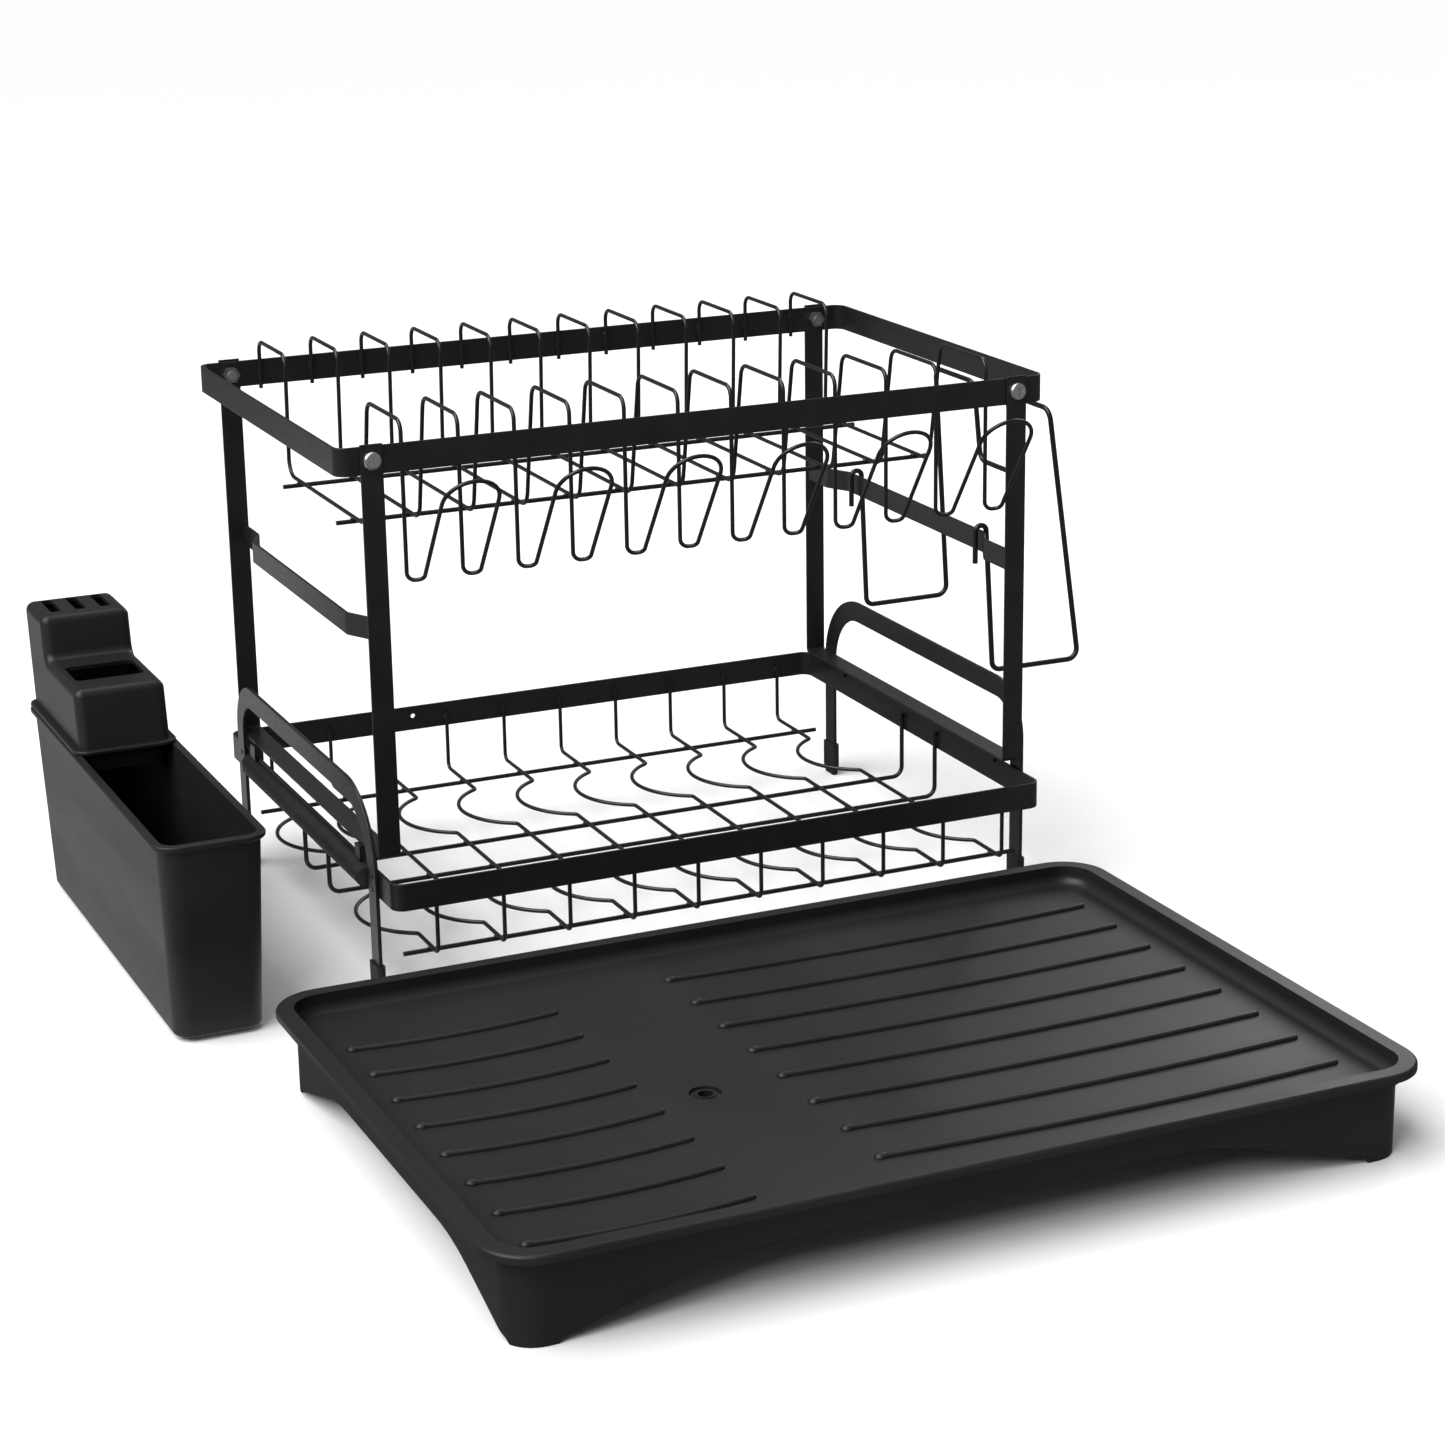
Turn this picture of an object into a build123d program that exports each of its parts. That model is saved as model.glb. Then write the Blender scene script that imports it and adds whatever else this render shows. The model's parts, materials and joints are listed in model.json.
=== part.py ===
from build123d import *
import os
from math import cos, radians, tan

os.makedirs("parts", exist_ok=True)

# Two-tier dish drying rack with a separate drip tray and utensil holder.
# Millimetres, +Z up, X along the rack's long side, Y to its rear.
# Everything is drawn about the centre of the rack, and moved at the end so that the origin
# is at the middle of the whole set's box, on the surface that it stands on.

STEEL = 1.5            # flat bar thickness
GAP = 0.02             # weld gap between round wire and what it is welded to
EDGE = 0.4             # rounding on the flat bar's edges

# Upper frame: an upright ring of flat bar.
UPPER_LENGTH = 400.0
UPPER_DEPTH = 248.9
UPPER_BOTTOM = 280.1
UPPER_HEIGHT = 14.6
RING_CORNER = 7.0

# Lower frame.
LOWER_LENGTH = 376.0
LOWER_DEPTH = 296.2
LOWER_BOTTOM = 57.4
LOWER_HEIGHT = 14.6
REAR_HOLE_X = -75.6
REAR_HOLE_Z = 66.0
REAR_HOLE_RADIUS = 1.5

# U-shaped side frames, outside the upper ring and resting on the lower one.
POST_X = 181.9
POST_WIDTH = 11.8
POST_TOP = 295.7
POST_FOOT = 78.3
POST_BEND = 2.25
CLIP_Y = 95.0
CLIP_LENGTH = 8.0
CLIP_BOTTOM = 70.0

# Screws through the posts and the upper ring.
SCREW_Z = 287.5
SCREW_RADIUS = 2.5
SCREW_HOLE_RADIUS = 2.58
SCREW_HEAD_RADIUS = 4.7
SCREW_HEAD_HEIGHT = 2.6
SCREW_HEAD_ROUND = 1.5
SCREW_END = 1.0        # how far the shank stands out of its nut
CROSS_SIZE = (5.0, 0.9)
CROSS_DEPTH = 1.2
NUT_FLAT = 4.0
NUT_THICKNESS = 4.0

# Cross bars between the posts on each side, joggled outwards in the middle.
CROSSBAR_BOTTOM = 188.4
CROSSBAR_HEIGHT = 12.0
CROSSBAR_OUT = 185.5
CROSSBAR_IN = 177.9
JOGGLE_START = 84.0
JOGGLE_END = 99.0

# Handle plates that go down as legs.
HANDLE_THICKNESS = 2.0
HANDLE_WIDTH = 12.0
HANDLE_HALF = 124.0
HANDLE_TOP = {"left": 112.0, "right": 119.3}
HANDLE_BIG_BEND = 39.0
HANDLE_SMALL_BEND = 23.0
LEG_END = 3.0
FOOT_WIDTH = 14.5
FOOT_DEPTH = 4.6
FOOT_HEIGHT = 20.0
FOOT_TAPER_HEIGHT = 5.0

# Wires.
PLATE_WIRE = 1.1       # radii
ROD_WIRE = 1.25
HOLDER_WIRE = 1.5
UPPER_WIRE_COUNT = 12
UPPER_WIRE_PITCH = 30.0
UPPER_WIRE_START = 278.5
UPPER_WIRE_TOP = 305.2
UPPER_WIRE_BED = 238.3
UPPER_ROD_Y = (56.0, -38.0)
UPPER_ROD_HALF = 174.5
HOOK_LEAN = 0.7        # how far the cup hooks lean forward for each unit of height
HOOK_BOTTOM = 224.0
HOOK_TOP = 280.8
HOOK_SHIFT = 8.0
HOOK_FRONT = 125.2
LOWER_WIRE_COUNT = 10
LOWER_WIRE_PITCH = 36.6
LOWER_WIRE_TOP = 66.0
LOWER_WIRE_BED = 31.0
LOWER_ROD_Y = (121.3, 14.5, -27.5, -133.0)
LOWER_ROD_HALF = 179.5
ROD_END_BEND = 6.0
ROD_END_TOP = 67.5
BULGE_HALF_CHORD = 34.75
BULGE_ANGLE = 59.0
BULGE_Y = (63.75, -78.75)

# Board holder on the right cross bar.
BOARD_Y = -4.0
BOARD_HALF = 77.5

# Left rail bumper.
BUMPER_HALF = 108.0
BUMPER_OUT = 6.0
BUMPER_BOTTOM, BUMPER_TOP = 57.6, 69.6

# Drip tray.
TRAY_LEFT, TRAY_RIGHT = -273.5, 184.7
TRAY_FRONT, TRAY_REAR = -519.9, -198.8
TRAY_TOP = 45.7
TRAY_LIP = 4.0
TRAY_SHOULDER = 6.5
TRAY_SKIRT = 9.5
TRAY_WALL = 2.2
TRAY_FLOOR = 36.0
TRAY_CORNER = 25.0
LIP_ROUND = 1.6
LIP_HOLLOW = 1.8
STEP_TOP = 43.7
BASIN_ROUND = 5.0
ARCH_FRONT = (198.0, 118.0, 25.0)    # half width at the floor, half width above, height
ARCH_SIDE = (142.0, 80.0, 22.0)
ARCH_BEND = 120.0
ARCH_TOE = 4.0
RIB_COUNT = 8
RIB_WIDTH = 4.6
RIB_HEIGHT = 1.8
RIB_ROUND = 1.5
RIB_BOW = 4.0
RIB_LEFT = (-248.0, -146.0, -259.5, 32.7)    # from x, to x, first y, pitch
RIB_RIGHT = (-78.0, 157.0, -244.5, 33.1)
DRAIN_X, DRAIN_Y = -118.5, -379.0
DRAIN_RADIUS = 5.08
DRAIN_RECESS_RADIUS = 7.6
DRAIN_RECESS = 2.6
DRAIN_BOSS_RADIUS = 10.0
DRAIN_BOSS = 3.4

# Swivelling drain spout below the tray.
SPOUT_NECK = 5.0
SPOUT_BORE = 3.6
SPOUT_LENGTH = 150.0
SPOUT_WIDTH = 20.0
SPOUT_BOTTOM = 2.0
SPOUT_TOP = 11.0
SPOUT_WALL = 1.6
SPOUT_COLLAR = 9.0
SPOUT_GAP = 0.3
RING_RADIUS = 7.2
RING_THICKNESS = 1.4

# Utensil holder, a tapered bin.
BIN_X = -277.0
BIN_Y = 2.0
BIN_TOP = 107.0
BIN_TOP_SIZE = (54.0, 278.0)
BIN_BOTTOM = 2.0
BIN_BOTTOM_SIZE = (46.5, 269.0)
BIN_WALL = 2.0
BIN_CORNER = 10.0
BIN_RIM = 2.5
BIN_RIM_HEIGHT = 3.0
BIN_RIM_ROUND = 1.0
BIN_FOOT_ROUND = 2.5
PAD_PLACE = (14.0, 108.0)
PAD_SIZE = (10.0, 30.0)
PAD_CORNER = 3.0

# Knife insert over the bin's rear half.
INSERT_FLANGE = 107.3
INSERT_FLANGE_THICKNESS = 1.8
INSERT_FRONT, INSERT_REAR = 28.0, 143.5
INSERT_HALF = 25.0
INSERT_WALL = 2.0
INSERT_CORNER = 9.0
PLUG_Y = 86.5
PLUG_SIZE = (47.4, 98.0)
PLUG_CORNER = 8.0
PLUG_DEPTH = 12.0
STEP_LOW = 141.0
STEP_HIGH = 165.0
BLOCK_FRONT = (32.4, 38.0)    # y at the flange, y at the top of each face
BLOCK_RISER = (104.0, 108.0)
BLOCK_BACK = (141.4, 150.0)
BLOCK_ROUND = 5.0
HOLLOW_ROUND = 3.0
KNIFE_SLOT = (6.0, 26.0)
KNIFE_PITCH = 14.0
KNIFE_Y = 130.0
WIDE_SLOT = (38.0, 29.0)
WIDE_SLOT_Y = 71.5


def round_wire(points, radii, wire_radius):
    """Round wire with a bend of its own radius at each inner point."""
    path = FilletPolyline(*points, radius=radii) if radii else Line(*points)
    section = Plane(origin=path @ 0, z_dir=path % 0) * Circle(wire_radius)
    return sweep(section, path=path)


def flat_bar(points, radii, across, width, thickness):
    """Flat bar bent along a route; across is the direction of its width at the start."""
    path = FilletPolyline(*points, radius=radii)
    face = Plane(origin=path @ 0, x_dir=across, z_dir=path % 0)
    section = face * RectangleRounded(width, thickness, EDGE)
    return sweep(section, path=path)


def cylinder_y(x, y, z, radius, length):
    """Cylinder along +Y from a start point."""
    return extrude(Plane(origin=(x, y, z), z_dir=(0, 1, 0)) * Circle(radius), length)


def block(low, high):
    """Box between two corners."""
    size = [b - a for a, b in zip(low, high)]
    middle = [(a + b) / 2 for a, b in zip(low, high)]
    return Pos(*middle) * Box(*size)


def ring(length, depth, bottom, height):
    """Upright ring of flat bar with rounded corners and edges."""
    outer = RectangleRounded(length, depth, RING_CORNER)
    inner = RectangleRounded(length - 2 * STEEL, depth - 2 * STEEL, RING_CORNER - STEEL)
    body = Pos(0, 0, bottom) * extrude(outer - inner, height)
    ends = body.edges().group_by(Axis.Z)
    return fillet(ends[0] + ends[-1], EDGE)


def in_runs(band, length, depth):
    """A ring as its four straight runs and its four bends, which meet face to face."""
    straight_x = length / 2 - RING_CORNER
    straight_y = depth / 2 - RING_CORNER
    across = ((-length, -straight_x), (-straight_x, straight_x), (straight_x, length))
    along = ((-depth, -straight_y), (-straight_y, straight_y), (straight_y, depth))
    runs = []
    for x_from, x_to in across:
        for y_from, y_to in along:
            run = band & block((x_from, y_from, 0), (x_to, y_to, POST_TOP))
            runs += run.solids() if run else []
    return Compound(children=runs)


def upper_band():
    band = ring(UPPER_LENGTH, UPPER_DEPTH, UPPER_BOTTOM, UPPER_HEIGHT)
    for x in (-POST_X, POST_X):
        band -= cylinder_y(x, -UPPER_DEPTH, SCREW_Z, SCREW_HOLE_RADIUS, 2 * UPPER_DEPTH)
    return in_runs(band, UPPER_LENGTH, UPPER_DEPTH)


def lower_band():
    band = ring(LOWER_LENGTH, LOWER_DEPTH, LOWER_BOTTOM, LOWER_HEIGHT)
    return band - cylinder_y(REAR_HOLE_X, 100, REAR_HOLE_Z, REAR_HOLE_RADIUS, 60)


def side_frame(x):
    """U of flat bar: two posts and the strip between their feet."""
    y = UPPER_DEPTH / 2 + STEEL / 2
    z = POST_FOOT + STEEL / 2
    points = [(x, -y, POST_TOP), (x, -y, z), (x, y, z), (x, y, POST_TOP)]
    frame = flat_bar(points, [POST_BEND] * 2, (1, 0, 0), POST_WIDTH, STEEL)
    return frame - cylinder_y(x, -UPPER_DEPTH, SCREW_Z, SCREW_HOLE_RADIUS, 2 * UPPER_DEPTH)


def rail_clips(side):
    """Slotted blocks under a side frame's strip, which straddle the lower rail."""
    rail = side * (LOWER_LENGTH - STEEL) / 2
    top = POST_FOOT
    clips = []
    for y in (-CLIP_Y, CLIP_Y):
        body = block((rail - 2.6, y - CLIP_LENGTH / 2, CLIP_BOTTOM), (rail + 2.6, y + CLIP_LENGTH / 2, top))
        slot_top = LOWER_BOTTOM + LOWER_HEIGHT
        slot = block((rail - 1, y - CLIP_LENGTH, 0), (rail + 1, y + CLIP_LENGTH, slot_top))
        clips.append(body - slot)
    return Compound(children=clips)


def crossbar(side):
    """Bar between the two posts, joggled outwards along its middle."""
    z = CROSSBAR_BOTTOM + CROSSBAR_HEIGHT / 2
    end = UPPER_DEPTH / 2
    half = [(CROSSBAR_IN, end), (CROSSBAR_IN, JOGGLE_END), (CROSSBAR_OUT, JOGGLE_START)]
    points = [(side * x, -y, z) for x, y in half] + [(side * x, y, z) for x, y in reversed(half)]
    return flat_bar(points, [6] * 4, (0, 0, 1), CROSSBAR_HEIGHT, STEEL)


def handle(name):
    """Plate bent round the rail's end: carrying handle above, a leg at each end."""
    side = -1 if name == "left" else 1
    x = side * (LOWER_LENGTH / 2 + HANDLE_THICKNESS / 2)
    y = HANDLE_HALF - HANDLE_WIDTH / 2
    z = HANDLE_TOP[name] - HANDLE_WIDTH / 2
    points = [(x, -y, LEG_END), (x, -y, z), (x, y, z), (x, y, LEG_END)]
    bends = [HANDLE_BIG_BEND, HANDLE_SMALL_BEND]
    if name == "right":
        bends.reverse()
    return flat_bar(points, bends, (0, 1, 0), HANDLE_WIDTH, HANDLE_THICKNESS)


def foot(side, y_side):
    """Rubber cap on a leg, tapered at its tip."""
    x = side * (LOWER_LENGTH / 2 + HANDLE_THICKNESS / 2)
    y = y_side * (HANDLE_HALF - HANDLE_WIDTH / 2)
    tip = Pos(x, y, 0) * RectangleRounded(FOOT_DEPTH - 1.4, FOOT_WIDTH - 3, 1.2)
    shoulder = Pos(x, y, FOOT_TAPER_HEIGHT) * RectangleRounded(FOOT_DEPTH, FOOT_WIDTH, 1.6)
    cap = loft([tip, shoulder]) + extrude(shoulder, FOOT_HEIGHT - FOOT_TAPER_HEIGHT)
    half_x, half_y = HANDLE_THICKNESS / 2, HANDLE_WIDTH / 2
    pocket = block((x - half_x, y - half_y, LEG_END), (x + half_x, y + half_y, 2 * FOOT_HEIGHT))
    return cap - pocket


def screw(x, direction):
    """Pan-head screw with a cross recess; direction is the way the head faces along Y."""
    face = direction * (UPPER_DEPTH / 2 + STEEL)
    out = Plane(origin=(x, face, SCREW_Z), x_dir=(1, 0, 0), z_dir=(0, direction, 0))
    head = extrude(out * Circle(SCREW_HEAD_RADIUS), SCREW_HEAD_HEIGHT)
    head = fillet(head.edges().sort_by(Axis.Y)[-1 if direction > 0 else 0], SCREW_HEAD_ROUND)
    shank = extrude(out * Circle(SCREW_RADIUS), -(2 * STEEL + NUT_THICKNESS + SCREW_END))
    top = out.offset(SCREW_HEAD_HEIGHT - CROSS_DEPTH)
    cross = Rectangle(*CROSS_SIZE) + Rectangle(*reversed(CROSS_SIZE))
    return head + shank - extrude(top * cross, SCREW_HEAD_HEIGHT)


def nut(x, direction):
    """Hexagon nut inside the upper ring."""
    face = direction * (UPPER_DEPTH / 2 - STEEL)
    inwards = Plane(origin=(x, face, SCREW_Z), x_dir=(1, 0, 0), z_dir=(0, -direction, 0))
    hexagon = RegularPolygon(NUT_FLAT, 6, major_radius=False) - Circle(SCREW_RADIUS + GAP)
    return extrude(inwards * hexagon, NUT_THICKNESS)


def corner_set(make):
    """The same fastener at the four screw places."""
    return Compound(children=[make(x, way) for x in (-POST_X, POST_X) for way in (-1, 1)])


def rod(y, half, z):
    return round_wire([(-half, y, z), (half, y, z)], [], ROD_WIRE)


def turned_rod(y, z):
    """Lower rod whose ends turn up inside the side rails."""
    x = LOWER_LENGTH / 2 - STEEL - ROD_WIRE - GAP
    points = [(-x, y, ROD_END_TOP), (-x, y, z), (x, y, z), (x, y, ROD_END_TOP)]
    return round_wire(points, [ROD_END_BEND] * 2, ROD_WIRE)


def plate_wire_pair(x):
    """One bent wire: two plate loops side by side, joined in front by a cup hook."""
    y_wall = UPPER_DEPTH / 2 - STEEL - PLATE_WIRE - GAP
    y_low = -HOOK_FRONT
    y_high = -HOOK_FRONT - HOOK_LEAN * (HOOK_TOP - HOOK_BOTTOM)
    loop = [
        (0, y_wall, UPPER_WIRE_START),
        (0, y_wall, UPPER_WIRE_TOP),
        (0, 72, UPPER_WIRE_TOP),
        (0, 75, UPPER_WIRE_BED),
        (0, -57, UPPER_WIRE_BED),
        (0, -70, UPPER_WIRE_TOP),
        (0, -y_wall, UPPER_WIRE_TOP),
        (0, -y_wall, HOOK_BOTTOM - 0.8),
        (HOOK_SHIFT, y_low, HOOK_BOTTOM),
        (HOOK_SHIFT, y_high, HOOK_TOP),
    ]
    bends = [6, 7, 9, 9, 7, 6, 3.9, 3.9, UPPER_WIRE_PITCH / 2 - 0.2]
    near = [(x + px, y, z) for px, y, z in loop]
    far = [(x + UPPER_WIRE_PITCH + px, y, z) for px, y, z in reversed(loop)]
    return round_wire(near + far, bends + bends[::-1], PLATE_WIRE)


def lower_wire(x):
    """Wire across the lower frame with two round bulges that hold plates on edge."""
    y_wall = LOWER_DEPTH / 2 - STEEL - PLATE_WIRE - GAP
    kink = 3.0
    slope = radians(BULGE_ANGLE)
    apex = BULGE_HALF_CHORD * tan(slope)
    side = BULGE_HALF_CHORD / cos(slope) - kink * tan(slope / 2) - 0.1
    crown = side / tan(slope)
    points = [(x, y_wall, LOWER_WIRE_TOP), (x, y_wall, LOWER_WIRE_BED)]
    bends = [4]
    for y in BULGE_Y:
        points += [
            (x, y + BULGE_HALF_CHORD, LOWER_WIRE_BED),
            (x - apex, y, LOWER_WIRE_BED),
            (x, y - BULGE_HALF_CHORD, LOWER_WIRE_BED),
        ]
        bends += [kink, crown, kink]
    points += [(x, -y_wall, LOWER_WIRE_BED), (x, -y_wall, LOWER_WIRE_TOP)]
    return round_wire(points, bends + [4], PLATE_WIRE)


def board_holder():
    """One bent wire that hangs on the right cross bar and holds a board or lids."""
    half = [
        (181.5, BOARD_HALF, 182.0),
        (181.5, BOARD_HALF, 203.3),
        (188.1, BOARD_HALF, 203.3),
        (192.3, BOARD_HALF + 1.5, 118.9),
        (247.5, BOARD_HALF + 2, 118.9),
        (233.0, 68.0, 262.7),
        (233.0, 20.0, 262.7),
        (237.7, 20.0, 215.8),
    ]
    bends = [3.28, 3.28, 5, 6, 7, 6, 6]
    one = [(x, BOARD_Y - y, z) for x, y, z in half]
    other = [(x, BOARD_Y + y, z) for x, y, z in reversed(half)]
    return round_wire(one + other, bends + bends[::-1], HOLDER_WIRE)


def rail_bumper():
    """Rounded buffer strip on the left rail's outer face."""
    x = -LOWER_LENGTH / 2
    body = block((x - BUMPER_OUT, -BUMPER_HALF, BUMPER_BOTTOM), (x, BUMPER_HALF, BUMPER_TOP))
    return fillet(body.faces().sort_by(Axis.X)[0].edges(), BUMPER_OUT - 0.5)


def tray_outline(inset, z):
    """The tray's rounded outline, moved inwards by inset."""
    length = TRAY_RIGHT - TRAY_LEFT - 2 * inset
    depth = TRAY_REAR - TRAY_FRONT - 2 * inset
    middle = ((TRAY_LEFT + TRAY_RIGHT) / 2, (TRAY_FRONT + TRAY_REAR) / 2, z)
    return Pos(*middle) * RectangleRounded(length, depth, TRAY_CORNER - inset)


def arch(sizes, along_x):
    """Cutter for the low arch in two opposite skirt walls, with rounded toes and shoulders."""
    foot_half, top_half, height = sizes
    middle = ((TRAY_LEFT + TRAY_RIGHT) / 2, (TRAY_FRONT + TRAY_REAR) / 2, 0)
    half = [(foot_half + ARCH_TOE, -ARCH_TOE), (foot_half - 1, 2.5), (top_half, height)]
    points = [(-x, z) for x, z in half] + [(x, z) for x, z in reversed(half)]
    if along_x:
        points = [(middle[0], middle[1] + across, z) for across, z in points]
    else:
        points = [(middle[0] + across, middle[1], z) for across, z in points]
    line = FilletPolyline(*points, radius=[ARCH_TOE, ARCH_BEND, ARCH_BEND, ARCH_TOE])
    outline = make_face([*line.edges(), Line(line @ 1, line @ 0)])
    return extrude(outline, 300, both=True)


def rib(x_from, x_to, y):
    """Low rounded rib on the tray's floor, slightly bowed."""
    middle = (x_from + x_to) / 2
    line = ThreePointArc((x_from, y), (middle, y - RIB_BOW), (x_to, y))
    body = extrude(SlotArc(line, RIB_WIDTH), RIB_HEIGHT)
    top = body.faces().sort_by(Axis.Z)[-1]
    return Pos(0, 0, TRAY_FLOOR) * fillet(top.edges(), RIB_ROUND)


def drip_tray():
    """Shallow tray on an arched skirt, with ribs that lead to the drain."""
    shoulder = TRAY_TOP - TRAY_LIP
    under = TRAY_FLOOR - TRAY_WALL
    inner = TRAY_SHOULDER + TRAY_WALL
    rim = extrude(tray_outline(0, shoulder), TRAY_LIP)
    rim = fillet(rim.edges().group_by(Axis.Z)[-1], LIP_ROUND)
    rim -= extrude(tray_outline(TRAY_WALL, shoulder), LIP_HOLLOW)
    step = extrude(tray_outline(TRAY_SHOULDER, TRAY_FLOOR + 1), STEP_TOP - TRAY_FLOOR - 1)
    skirt = extrude(tray_outline(TRAY_SKIRT, 0), TRAY_FLOOR + 1)
    tray = rim + step + skirt
    basin = extrude(tray_outline(inner, TRAY_FLOOR), TRAY_TOP)
    tray -= fillet(basin.edges().group_by(Axis.Z)[0], BASIN_ROUND)
    tray -= extrude(tray_outline(TRAY_SKIRT + TRAY_WALL, 0), under)
    tray -= arch(ARCH_FRONT, False)
    tray -= arch(ARCH_SIDE, True)
    for x_from, x_to, first_y, pitch in (RIB_LEFT, RIB_RIGHT):
        for i in range(RIB_COUNT):
            tray += rib(x_from, x_to, first_y - pitch * i)
    drain = Pos(DRAIN_X, DRAIN_Y, TRAY_FLOOR)
    tray += drain * extrude(Circle(DRAIN_BOSS_RADIUS), -TRAY_WALL - DRAIN_BOSS)
    tray -= drain * extrude(Circle(DRAIN_RECESS_RADIUS), -DRAIN_RECESS)
    return tray - drain * Cylinder(DRAIN_RADIUS, 40)


def drain_spout():
    """Hollow arm below the tray with a neck that turns in the drain hole."""
    wide, wall = SPOUT_WIDTH / 2, SPOUT_WALL
    floor = Pos(DRAIN_X, DRAIN_Y, SPOUT_BOTTOM)
    tall = SPOUT_TOP - SPOUT_BOTTOM
    arm = block((0, -wide, 0), (SPOUT_LENGTH, wide, tall))
    arm = fillet(arm.edges().filter_by(Axis.X), 3)
    arm += extrude(Circle(wide), tall)
    duct = block((0, wall - wide, wall), (SPOUT_LENGTH + 1, wide - wall, tall - wall))
    duct = fillet(duct.edges().filter_by(Axis.X), 1.5)
    duct += Pos(0, 0, wall) * extrude(Circle(wide - wall), tall - 2 * wall)
    neck_height = TRAY_FLOOR - 0.5 - SPOUT_BOTTOM
    neck = extrude(Circle(SPOUT_NECK), neck_height)
    boss_face = TRAY_FLOOR - TRAY_WALL - DRAIN_BOSS
    collar = Pos(0, 0, tall) * extrude(Circle(SPOUT_COLLAR), boss_face - SPOUT_GAP - SPOUT_TOP)
    bore = Pos(0, 0, wall) * extrude(Circle(SPOUT_BORE), neck_height)
    return floor * (arm + neck + collar - duct - bore)


def drain_ring():
    """Retaining ring pushed on the spout's neck, in the recess of the tray's floor."""
    body = extrude(Circle(RING_RADIUS) - Circle(SPOUT_NECK + GAP), RING_THICKNESS)
    body = fillet(body.edges().group_by(Axis.Z)[-1].sort_by(SortBy.RADIUS)[-1], 0.6)
    return Pos(DRAIN_X, DRAIN_Y, TRAY_FLOOR - DRAIN_RECESS + SPOUT_GAP) * body


def bin_outline(share, grow, z):
    """The bin's rounded outline at a share of its height, grown by grow."""
    sizes = zip(BIN_BOTTOM_SIZE, BIN_TOP_SIZE)
    length, depth = [low + share * (high - low) + 2 * grow for low, high in sizes]
    return Pos(BIN_X, BIN_Y, z) * RectangleRounded(length, depth, BIN_CORNER + grow)


def utensil_holder():
    """Tapered bin with a rolled rim and four pads underneath."""
    outer = loft([bin_outline(0, 0, BIN_BOTTOM), bin_outline(1, 0, BIN_TOP)])
    outer = fillet(outer.edges().group_by(Axis.Z)[0], BIN_FOOT_ROUND)
    rim = extrude(bin_outline(1, BIN_RIM, BIN_TOP - BIN_RIM_HEIGHT), BIN_RIM_HEIGHT)
    rim = fillet(rim.edges().group_by(Axis.Z)[-1] + rim.edges().group_by(Axis.Z)[0], BIN_RIM_ROUND)
    floor_share = BIN_WALL / (BIN_TOP - BIN_BOTTOM)
    inside = loft([
        bin_outline(floor_share, -BIN_WALL, BIN_BOTTOM + BIN_WALL),
        bin_outline(1, -BIN_WALL, BIN_TOP),
    ])
    body = outer + rim - inside
    pad = extrude(RectangleRounded(*PAD_SIZE, PAD_CORNER), BIN_BOTTOM)
    for x in (-1, 1):
        for y in (-1, 1):
            body += Pos(BIN_X + x * PAD_PLACE[0], BIN_Y + y * PAD_PLACE[1], 0) * pad
    return body


def insert_profile(shrink):
    """Stepped side profile of the insert's blocks, leaning back a little."""
    base = INSERT_FLANGE + INSERT_FLANGE_THICKNESS
    points = [
        (BLOCK_FRONT[0] + shrink, base),
        (BLOCK_FRONT[1] + shrink, STEP_LOW - shrink),
        (BLOCK_RISER[0] + shrink, STEP_LOW - shrink),
        (BLOCK_RISER[1] + shrink, STEP_HIGH - shrink),
        (BLOCK_BACK[1] - shrink, STEP_HIGH - shrink),
        (BLOCK_BACK[0] - shrink, base),
    ]
    return Plane.YZ * make_face(Polyline(*points, close=True))


def rounded_block(profile, half, radius):
    """Profile drawn out both ways along X, rounded everywhere above its foot."""
    body = extrude(profile, half, both=True)
    foot = body.bounding_box().min.Z
    upper = body.edges().filter_by(lambda edge: edge.center().Z > foot + 1)
    return Pos(BIN_X, 0, 0) * fillet(upper, radius)


def knife_insert():
    """Stepped hollow block on a flange, with one wide slot and three knife slots."""
    base = INSERT_FLANGE + INSERT_FLANGE_THICKNESS
    shell = rounded_block(insert_profile(0), INSERT_HALF, BLOCK_ROUND)
    hollow = rounded_block(insert_profile(INSERT_WALL), INSERT_HALF - INSERT_WALL, HOLLOW_ROUND)
    flange = RectangleRounded(BIN_TOP_SIZE[0] + 3, INSERT_REAR - INSERT_FRONT, INSERT_CORNER)
    flange_middle = (INSERT_FRONT + INSERT_REAR) / 2
    flange = Pos(BIN_X, flange_middle, INSERT_FLANGE) * extrude(flange, INSERT_FLANGE_THICKNESS)
    flange = fillet(flange.edges().group_by(Axis.Z)[-1], 0.7)
    plug_outline = RectangleRounded(*PLUG_SIZE, PLUG_CORNER)
    mouth = RectangleRounded(*[size - 2 * INSERT_WALL for size in PLUG_SIZE], PLUG_CORNER - INSERT_WALL)
    plug = Pos(BIN_X, PLUG_Y, INSERT_FLANGE - PLUG_DEPTH) * extrude(plug_outline, PLUG_DEPTH)
    way_through = Pos(BIN_X, PLUG_Y, 0) * extrude(mouth, base)
    body = shell + flange + plug - hollow - way_through
    wide = extrude(RectangleRounded(*WIDE_SLOT, 3), 10)
    body -= Pos(BIN_X, WIDE_SLOT_Y, STEP_LOW - 5) * wide
    knife = extrude(RectangleRounded(*KNIFE_SLOT, 1.5), 10)
    for i in (-1, 0, 1):
        body -= Pos(BIN_X + i * KNIFE_PITCH, KNIFE_Y, STEP_HIGH - 5) * knife
    return body


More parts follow.
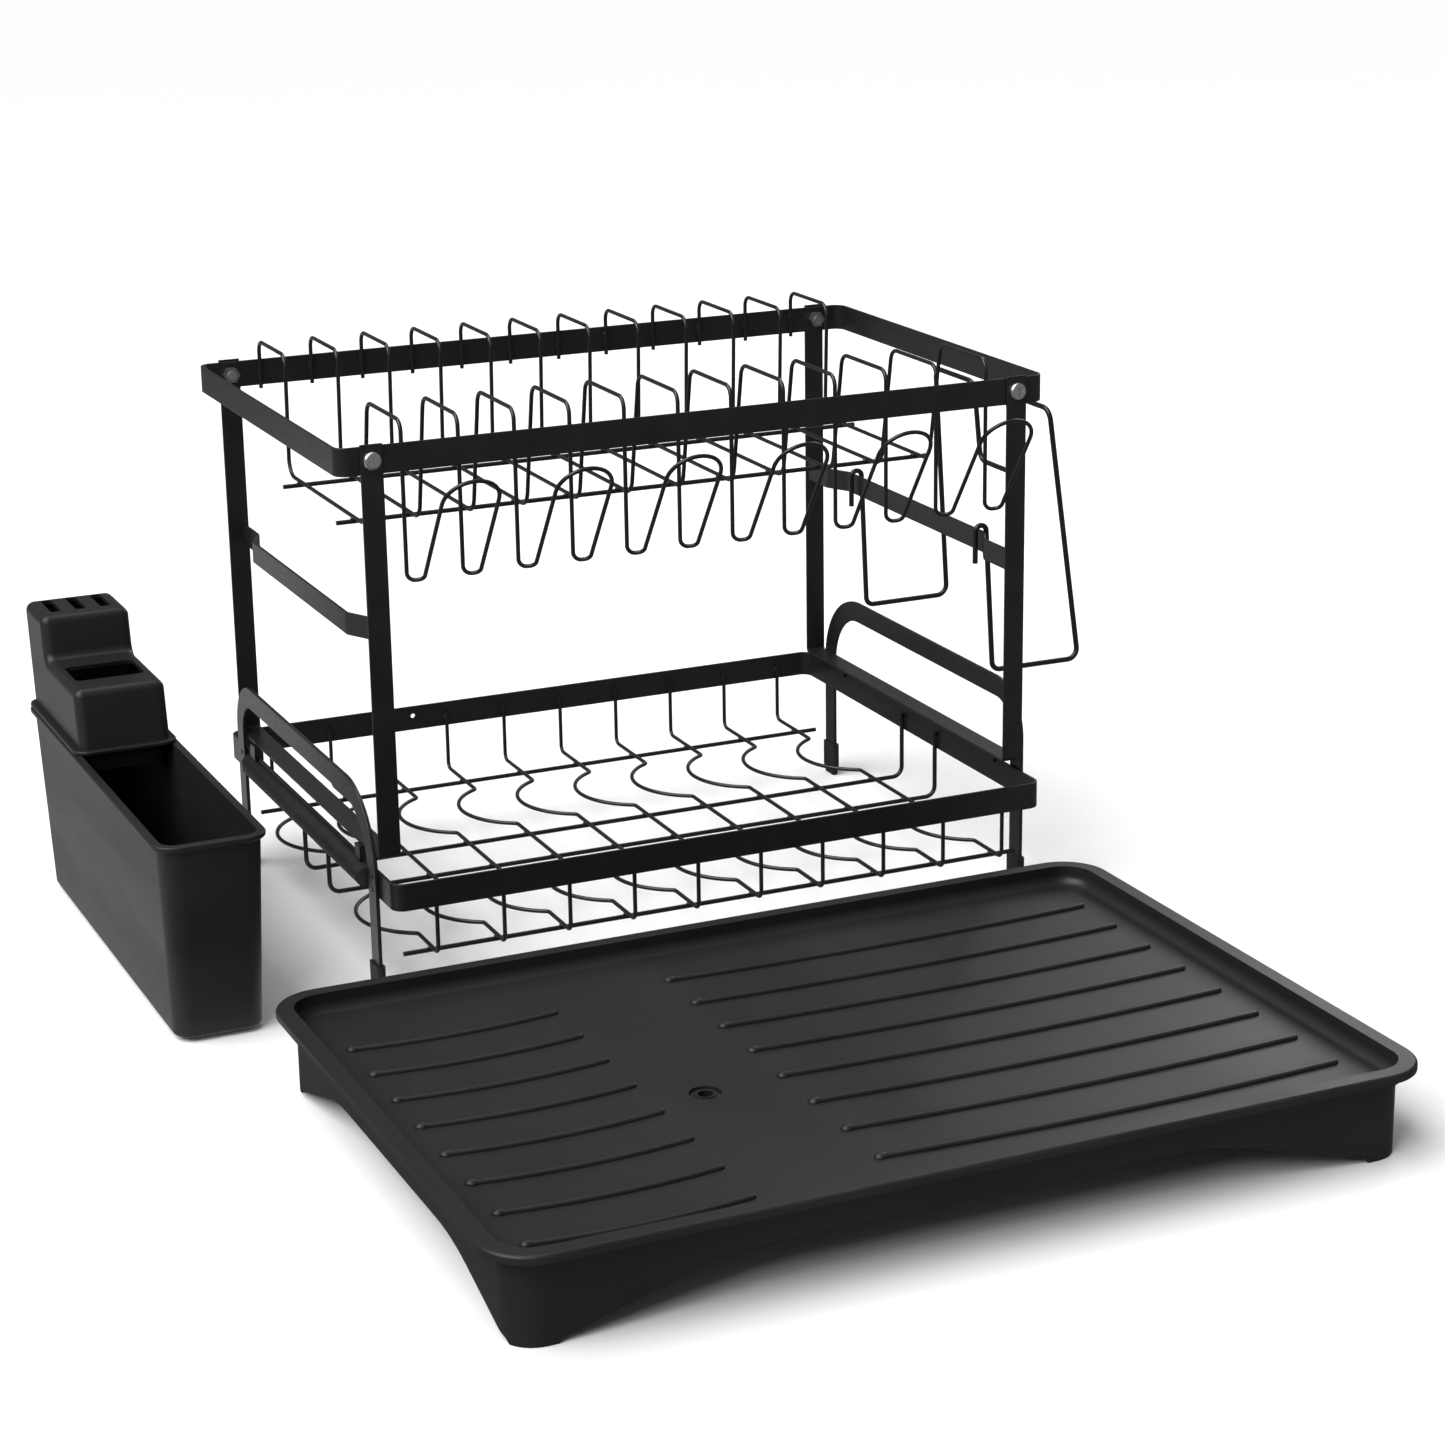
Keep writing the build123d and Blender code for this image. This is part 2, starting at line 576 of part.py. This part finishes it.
def make_parts():
    """Every piece of the set by its name."""
    parts = {"upper_band": upper_band(), "lower_band": lower_band()}
    for name, side in (("left", -1), ("right", 1)):
        parts[f"{name}_side_frame"] = side_frame(side * POST_X)
        parts[f"{name}_rail_clips"] = rail_clips(side)
        parts[f"{name}_crossbar"] = crossbar(side)
        parts[f"{name}_handle"] = handle(name)
        parts[f"{name}_front_foot"] = foot(side, -1)
        parts[f"{name}_rear_foot"] = foot(side, 1)
    parts["frame_screws"] = corner_set(screw)
    parts["frame_nuts"] = corner_set(nut)
    rod_z = UPPER_WIRE_BED - PLATE_WIRE - ROD_WIRE - GAP
    for name, y in zip(("rear", "front"), UPPER_ROD_Y):
        parts[f"upper_rod_{name}"] = rod(y, UPPER_ROD_HALF, rod_z)
    first = -UPPER_WIRE_PITCH * (UPPER_WIRE_COUNT - 1) / 2
    for i in range(UPPER_WIRE_COUNT // 2):
        parts[f"plate_wire_pair_{i + 1}"] = plate_wire_pair(first + 2 * i * UPPER_WIRE_PITCH)
    rod_z = LOWER_WIRE_BED - PLATE_WIRE - ROD_WIRE - GAP
    rear, middle_rear, middle_front, front = LOWER_ROD_Y
    parts["lower_rod_1"] = rod(rear, LOWER_ROD_HALF, rod_z)
    parts["lower_rod_2"] = turned_rod(middle_rear, rod_z)
    parts["lower_rod_3"] = turned_rod(middle_front, rod_z)
    parts["lower_rod_4"] = rod(front, LOWER_ROD_HALF, rod_z)
    first = -LOWER_WIRE_PITCH * (LOWER_WIRE_COUNT - 1) / 2
    for i in range(LOWER_WIRE_COUNT):
        parts[f"lower_wire_{i + 1:02d}"] = lower_wire(first + i * LOWER_WIRE_PITCH)
    parts["left_rail_bumper"] = rail_bumper()
    parts["board_holder"] = board_holder()
    parts["drip_tray"] = drip_tray()
    parts["drain_spout"] = drain_spout()
    parts["drain_ring"] = drain_ring()
    parts["utensil_holder"] = utensil_holder()
    parts["knife_insert"] = knife_insert()
    return parts


parts = make_parts()
boxes = [part.bounding_box() for part in parts.values()]
x_middle = (min(b.min.X for b in boxes) + max(b.max.X for b in boxes)) / 2
y_middle = (min(b.min.Y for b in boxes) + max(b.max.Y for b in boxes)) / 2
print("origin from the rack's centre", round(x_middle, 4), round(y_middle, 4))
for name, part in parts.items():
    export_step(Pos(-x_middle, -y_middle, 0) * part, f"parts/{name}.step")
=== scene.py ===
import json
import math

import bmesh
import bpy
from mathutils import Matrix, Vector
from mathutils import noise as field


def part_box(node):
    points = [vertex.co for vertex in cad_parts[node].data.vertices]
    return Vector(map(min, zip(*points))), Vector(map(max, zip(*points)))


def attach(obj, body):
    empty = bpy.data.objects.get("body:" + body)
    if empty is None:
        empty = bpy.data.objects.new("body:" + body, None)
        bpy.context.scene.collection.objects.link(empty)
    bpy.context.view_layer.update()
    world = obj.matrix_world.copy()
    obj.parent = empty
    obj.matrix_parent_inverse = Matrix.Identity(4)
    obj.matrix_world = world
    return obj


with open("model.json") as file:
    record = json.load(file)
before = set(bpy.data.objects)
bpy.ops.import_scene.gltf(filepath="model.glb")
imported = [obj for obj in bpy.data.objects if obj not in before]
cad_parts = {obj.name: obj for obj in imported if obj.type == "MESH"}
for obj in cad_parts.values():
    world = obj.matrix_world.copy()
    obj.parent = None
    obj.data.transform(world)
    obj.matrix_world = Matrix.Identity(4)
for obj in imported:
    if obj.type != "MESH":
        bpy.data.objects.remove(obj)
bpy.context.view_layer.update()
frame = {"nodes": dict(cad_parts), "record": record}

scene = bpy.context.scene
RECORD = frame["record"]
SLOT_OF = {s["node"]: s["material_slot"] for s in RECORD["subparts"]}


# ---------------------------------------------------------------- helpers

def link(obj):
    scene.collection.objects.link(obj)
    return obj


def middle(node):
    low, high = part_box(node)
    return (low + high) / 2


def shader(name):
    """New node material: the material, its node tree, and its Principled shader."""
    material = bpy.data.materials.new(name)
    material.use_nodes = True
    tree = material.node_tree
    return material, tree, tree.nodes["Principled BSDF"]


def noise(tree, position, scale, detail=3.0, roughness=0.5):
    node = tree.nodes.new("ShaderNodeTexNoise")
    node.inputs["Scale"].default_value = scale
    node.inputs["Detail"].default_value = detail
    node.inputs["Roughness"].default_value = roughness
    tree.links.new(position, node.inputs["Vector"])
    return node.outputs["Fac"]


def remap(tree, value, low_in, high_in, low_out, high_out):
    node = tree.nodes.new("ShaderNodeMapRange")
    node.inputs["From Min"].default_value = low_in
    node.inputs["From Max"].default_value = high_in
    node.inputs["To Min"].default_value = low_out
    node.inputs["To Max"].default_value = high_out
    tree.links.new(value, node.inputs["Value"])
    return node.outputs["Result"]


def blend_colour(tree, factor, dark, light):
    node = tree.nodes.new("ShaderNodeMix")
    node.data_type = "RGBA"
    node.inputs["A"].default_value = (*dark, 1)
    node.inputs["B"].default_value = (*light, 1)
    tree.links.new(factor, node.inputs["Factor"])
    return node.outputs["Result"]


def bump(tree, height, strength, distance, below=None):
    node = tree.nodes.new("ShaderNodeBump")
    node.inputs["Strength"].default_value = strength
    node.inputs["Distance"].default_value = distance
    tree.links.new(height, node.inputs["Height"])
    if below is not None:
        tree.links.new(below, node.inputs["Normal"])
    return node.outputs["Normal"]


# ---------------------------------------------------------------- materials

def coated_steel(name, dark, light, rough, grain):
    """Satin black powder coat: fine orange peel, slight cloudiness in gloss and colour."""
    material, tree, surface = shader(name)
    position = tree.nodes.new("ShaderNodeTexCoord").outputs["Object"]
    clouds = noise(tree, position, 60, 4, 0.6)
    peel = noise(tree, position, grain, 2, 0.5)
    dust = noise(tree, position, 420, 5, 0.7)
    colour = blend_colour(tree, remap(tree, clouds, 0.35, 0.65, 0, 1), dark, light)
    tree.links.new(colour, surface.inputs["Base Color"])
    tree.links.new(remap(tree, dust, 0.3, 0.7, rough - 0.05, rough + 0.07), surface.inputs["Roughness"])
    fine = bump(tree, peel, 0.35, 0.00006)
    tree.links.new(bump(tree, clouds, 0.15, 0.0002, fine), surface.inputs["Normal"])
    surface.inputs["Specular IOR Level"].default_value = 0.42
    surface.inputs["Coat Weight"].default_value = 0.12
    surface.inputs["Coat Roughness"].default_value = 0.22
    return material


def moulded_plastic(name, dark, light, rough, grain, specular):
    """Moulded plastic with a fine spark-eroded texture, soft flow marks and faint scuffs."""
    material, tree, surface = shader(name)
    position = tree.nodes.new("ShaderNodeTexCoord").outputs["Object"]
    stretched = tree.nodes.new("ShaderNodeMapping")
    stretched.inputs["Scale"].default_value = (1.0, 0.35, 2.2)
    tree.links.new(position, stretched.inputs["Vector"])
    flow = noise(tree, stretched.outputs["Vector"], 14, 4, 0.55)
    texture = noise(tree, position, grain, 3, 0.6)
    scuffs = tree.nodes.new("ShaderNodeTexVoronoi")
    scuffs.inputs["Scale"].default_value = 190
    tree.links.new(position, scuffs.inputs["Vector"])
    colour = blend_colour(tree, remap(tree, flow, 0.35, 0.65, 0, 1), dark, light)
    tree.links.new(colour, surface.inputs["Base Color"])
    polish = remap(tree, flow, 0.3, 0.7, rough - 0.04, rough + 0.05)
    tree.links.new(polish, surface.inputs["Roughness"])
    grainy = bump(tree, texture, 0.4, 0.00007)
    worn = bump(tree, scuffs.outputs["Distance"], 0.05, 0.0001, grainy)
    tree.links.new(worn, surface.inputs["Normal"])
    surface.inputs["Specular IOR Level"].default_value = specular
    return material


def rubber(name, tone):
    """Matt rubber with a dusty bloom."""
    material, tree, surface = shader(name)
    position = tree.nodes.new("ShaderNodeTexCoord").outputs["Object"]
    bloom = noise(tree, position, 160, 5, 0.7)
    dark = (tone, tone, tone)
    light = (tone * 1.9, tone * 1.9, tone * 1.95)
    colour = blend_colour(tree, remap(tree, bloom, 0.4, 0.7, 0, 1), dark, light)
    tree.links.new(colour, surface.inputs["Base Color"])
    tree.links.new(remap(tree, bloom, 0.3, 0.7, 0.55, 0.75), surface.inputs["Roughness"])
    tree.links.new(bump(tree, noise(tree, position, 1800, 2), 0.3, 0.00008), surface.inputs["Normal"])
    surface.inputs["Specular IOR Level"].default_value = 0.35
    return material


def plated(name, tone, rough, scratch):
    """Plated metal with hairline scratches and slightly uneven brightness."""
    material, tree, surface = shader(name)
    position = tree.nodes.new("ShaderNodeTexCoord").outputs["Object"]
    drawn = tree.nodes.new("ShaderNodeMapping")
    drawn.inputs["Scale"].default_value = (1, 1, 9)
    tree.links.new(position, drawn.inputs["Vector"])
    lines = noise(tree, drawn.outputs["Vector"], scratch, 4, 0.6)
    dark = tuple(0.8 * c for c in tone)
    colour = blend_colour(tree, lines, dark, tone)
    tree.links.new(colour, surface.inputs["Base Color"])
    tree.links.new(remap(tree, lines, 0.3, 0.7, rough, rough + 0.12), surface.inputs["Roughness"])
    tree.links.new(bump(tree, lines, 0.15, 0.00004), surface.inputs["Normal"])
    surface.inputs["Metallic"].default_value = 1.0
    return material


MATERIALS = {
    "black_steel": coated_steel("black_steel", (0.0085,) * 3, (0.0115, 0.0115, 0.012), 0.36, 2600),
    "black_wire": coated_steel("black_wire", (0.007,) * 3, (0.010, 0.010, 0.0105), 0.30, 3200),
    "screw_chrome": plated("screw_chrome", (0.90, 0.90, 0.92), 0.24, 700),
    "nut_steel": plated("nut_steel", (0.55, 0.55, 0.57), 0.28, 900),
    "foot_rubber": rubber("foot_rubber", 0.009),
    "bumper_rubber": rubber("bumper_rubber", 0.007),
    "tray_plastic": moulded_plastic(
        "tray_plastic", (0.0115,) * 3, (0.0145, 0.0145, 0.015), 0.43, 2300, 0.32),
    "holder_plastic": moulded_plastic(
        "holder_plastic", (0.010,) * 3, (0.013, 0.013, 0.0135), 0.44, 2100, 0.33),
    "spout_plastic": moulded_plastic("spout_plastic", (0.010,) * 3, (0.012,) * 3, 0.28, 2600, 0.5),
}


def finish_cad_nodes():
    """Gives every CAD node its own slot's material."""
    for name, obj in frame["nodes"].items():
        obj.data.materials.clear()
        obj.data.materials.append(MATERIALS[SLOT_OF[name]])


finish_cad_nodes()


# ---------------------------------------------------------------- welds and moulded details

MM = 0.001
PLATE_WIRE = 1.1 * MM          # wire radii
ROD_WIRE = 1.25 * MM
STEEL = 1.5 * MM               # flat bar thickness
LOOP_PITCH = 30 * MM
LEG_HALF_WIDTH = 6 * MM
CROSSING_BEAD = (1.7 * MM, 1.7 * MM, 0.9 * MM)      # half sizes of each kind of lump
UPPER_BAND_BEAD = (1.6 * MM, 0.9 * MM, 5 * MM)
LOWER_BAND_BEAD = (1.6 * MM, 0.9 * MM, 3 * MM)
TURNED_ROD_BEAD = (0.9 * MM, 1.7 * MM, 3 * MM)
CROSSBAR_SEAM = (1.3 * MM, 0.8 * MM, 5.4 * MM)
SPOT_WELD = (0.5 * MM, 1.8 * MM, 1.8 * MM)
RIB_START = (3.3 * MM, 3.1 * MM, 2.2 * MM)
LOWER_WELD_RISE = 5 * MM       # heights above the lower ring's edge
SPOT_WELD_RISES = (3.6 * MM, 10.8 * MM)
WELD_UNEVEN = 0.3
SEAM_UNEVEN = 0.25
SPOT_UNEVEN = 0.1
RIB_UNEVEN = 0.04
RIB_COUNT = 8
RIB_ROWS = ((25.5, 260.4, 32.7), (195.5, 275.4, 33.1))   # mm: from the left, from the front, pitch
TRAY_DEPTH = 9.7 * MM


def lumps(name, slot, body, places, radii, uneven):
    """One mesh of small uneven rounded lumps, such as weld beads, one at each place."""
    form = bmesh.new()
    for place in places:
        for vertex in bmesh.ops.create_icosphere(form, subdivisions=3, radius=1)["verts"]:
            swell = 1 + uneven * field.noise(1.8 * vertex.co + 900 * Vector(place))
            vertex.co = Vector(place) + Vector([swell * r * c for r, c in zip(radii, vertex.co)])
    for face in form.faces:
        face.smooth = True
    mesh = bpy.data.meshes.new(name)
    form.to_mesh(mesh)
    form.free()
    mesh.materials.append(MATERIALS[slot])
    piece = link(bpy.data.objects.new(name, mesh))
    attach(piece, body)


def rod_top(node):
    """Where a rod lies along Y, and the height of its straight run's top."""
    low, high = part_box(node)
    return (low.y + high.y) / 2, low.z + 2 * ROD_WIRE


def loop_lines():
    """X of each plate loop in the upper tier."""
    starts = [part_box(f"plate_wire_pair_{i}")[0].x + PLATE_WIRE for i in range(1, 7)]
    return [x + shift for x in starts for shift in (0, LOOP_PITCH)]


def crossings(lines, rods):
    return [(x, y, z) for x in lines for y, z in map(rod_top, rods)]


def weld_upper_tier():
    lines = loop_lines()
    rods = ("upper_rod_rear", "upper_rod_front")
    places = crossings(lines, rods)
    lumps("upper_crossing_welds", "black_wire", "rack", places, CROSSING_BEAD, WELD_UNEVEN)
    low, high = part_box("upper_band")
    inner = (low.y + STEEL, high.y - STEEL)
    ends = [(x, y, (low.z + high.z) / 2) for x in lines for y in inner]
    lumps("upper_band_welds", "black_wire", "rack", ends, UPPER_BAND_BEAD, WELD_UNEVEN)


def weld_lower_tier():
    lines = [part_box(f"lower_wire_{i:02d}")[1].x - PLATE_WIRE for i in range(1, 11)]
    rods = [f"lower_rod_{i}" for i in range(1, 5)]
    places = crossings(lines, rods)
    lumps("lower_crossing_welds", "black_wire", "rack", places, CROSSING_BEAD, WELD_UNEVEN)
    low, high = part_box("lower_band")
    weld_z = low.z + LOWER_WELD_RISE
    ends = [(x, y, weld_z) for x in lines for y in (low.y + STEEL, high.y - STEEL)]
    lumps("lower_band_welds", "black_wire", "rack", ends, LOWER_BAND_BEAD, WELD_UNEVEN)
    sides = (low.x + STEEL, high.x - STEEL)
    turned = [(x, rod_top(rod)[0], weld_z) for x in sides for rod in ("lower_rod_2", "lower_rod_3")]
    lumps("turned_rod_welds", "black_wire", "rack", turned, TURNED_ROD_BEAD, WELD_UNEVEN)


def weld_side_frames():
    """Seams at the cross bars' ends, and two spot welds on every leg."""
    seams, spots = [], []
    rail_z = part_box("lower_band")[0].z
    for side in ("left", "right"):
        low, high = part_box(f"{side}_crossbar")
        bar = high.x - STEEL / 2 if side == "left" else low.x + STEEL / 2
        seams += [(bar, y, (low.z + high.z) / 2) for y in (low.y, high.y)]
        low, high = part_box(f"{side}_handle")
        face = low.x if side == "left" else high.x
        for y in (low.y + LEG_HALF_WIDTH, high.y - LEG_HALF_WIDTH):
            spots += [(face, y, rail_z + rise) for rise in SPOT_WELD_RISES]
    lumps("crossbar_welds", "black_steel", "rack", seams, CROSSBAR_SEAM, SEAM_UNEVEN)
    lumps("leg_spot_welds", "black_steel", "rack", spots, SPOT_WELD, SPOT_UNEVEN)


def dome_rib_starts():
    """The small dome that each rib on the tray's floor starts with."""
    low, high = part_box("drip_tray")
    floor_z = high.z - TRAY_DEPTH
    starts = [
        (low.x + from_left * MM, low.y + (from_front - pitch * i) * MM, floor_z)
        for from_left, from_front, pitch in RIB_ROWS
        for i in range(RIB_COUNT)
    ]
    lumps("rib_starts", "tray_plastic", "tray", starts, RIB_START, RIB_UNEVEN)


weld_upper_tier()
weld_lower_tier()
weld_side_frames()
dome_rib_starts()


# ---------------------------------------------------------------- camera, light, floor

CAMERA_FROM_RING = Vector((-0.6722, -1.6457, 0.6406 - 0.2874))   # from the upper ring's centre
FLOOR_HALF_SIZE = 60
FLOOR_DROP = 0.0002                                              # clear of the object's own feet
BOUNCE_PLACE = (-0.55, 0.66, 0.001)
YAW, PITCH, ROLL = math.radians(-24.04), math.radians(17.19), math.radians(-0.86)


def aim_camera():
    data = bpy.data.cameras.new("camera")
    data.lens = 81.73
    data.sensor_width = 36
    camera = link(bpy.data.objects.new("camera", data))
    forward = Vector((-math.sin(YAW) * math.cos(PITCH), math.cos(YAW) * math.cos(PITCH), -math.sin(PITCH)))
    right = Vector((math.cos(YAW), math.sin(YAW), 0))
    up = right.cross(forward)
    x = math.cos(ROLL) * right + math.sin(ROLL) * up
    y = math.cos(ROLL) * up - math.sin(ROLL) * right
    turn = Matrix((x, y, -forward)).transposed().to_4x4()
    camera.matrix_world = Matrix.Translation(middle("upper_band") + CAMERA_FROM_RING) @ turn
    scene.camera = camera


def area_light(name, place, target, size, power):
    data = bpy.data.lights.new(name, "AREA")
    data.shape = "RECTANGLE"
    data.size, data.size_y = size
    data.energy = power
    light = link(bpy.data.objects.new(name, data))
    light.location = place
    light.rotation_euler = (Vector(target) - Vector(place)).to_track_quat("-Z", "Y").to_euler()
    light.visible_camera = False


def light_stage():
    """A wide soft key from the left, an overhead, a glint, a rim, and a dim even surround."""
    centre = (0, 0, 0.12)
    sun = bpy.data.lights.new("key_left", "SUN")
    sun.energy = 3.8
    sun.angle = math.radians(55)
    key = link(bpy.data.objects.new("key_left", sun))
    key.rotation_euler = Vector((0.75, 0.15, -1.0)).to_track_quat("-Z", "Y").to_euler()
    area_light("top_soft", (-0.1, 0.7, 2.1), centre, (1.5, 1.0), 10)
    area_light("front_glint", (-1.5, -1.7, 1.3), centre, (0.35, 0.35), 7)
    area_light("rim_right", (2.0, 1.9, 1.5), centre, (0.8, 1.6), 14)
    area_light("floor_bounce", BOUNCE_PLACE, (*BOUNCE_PLACE[:2], 1), (0.8, 1.25), 1.5)
    world = bpy.data.worlds.new("studio")
    scene.world = world
    world.use_nodes = True
    background = world.node_tree.nodes["Background"]
    background.inputs["Color"].default_value = (1, 1, 1, 1)
    background.inputs["Strength"].default_value = 0.16
    scene.view_settings.view_transform = "Standard"


def lay_floor():
    mesh = bpy.data.meshes.new("floor")
    form = bmesh.new()
    bmesh.ops.create_grid(form, x_segments=1, y_segments=1, size=FLOOR_HALF_SIZE)
    form.to_mesh(mesh)
    form.free()
    floor = link(bpy.data.objects.new("floor", mesh))
    floor.location.z = -FLOOR_DROP
    material, tree, surface = shader("pale_floor")
    surface.inputs["Base Color"].default_value = (0.9, 0.9, 0.9, 1)
    surface.inputs["Roughness"].default_value = 0.9
    surface.inputs["Specular IOR Level"].default_value = 0.1
    mesh.materials.append(material)
    floor.visible_glossy = False


aim_camera()
light_stage()
lay_floor()
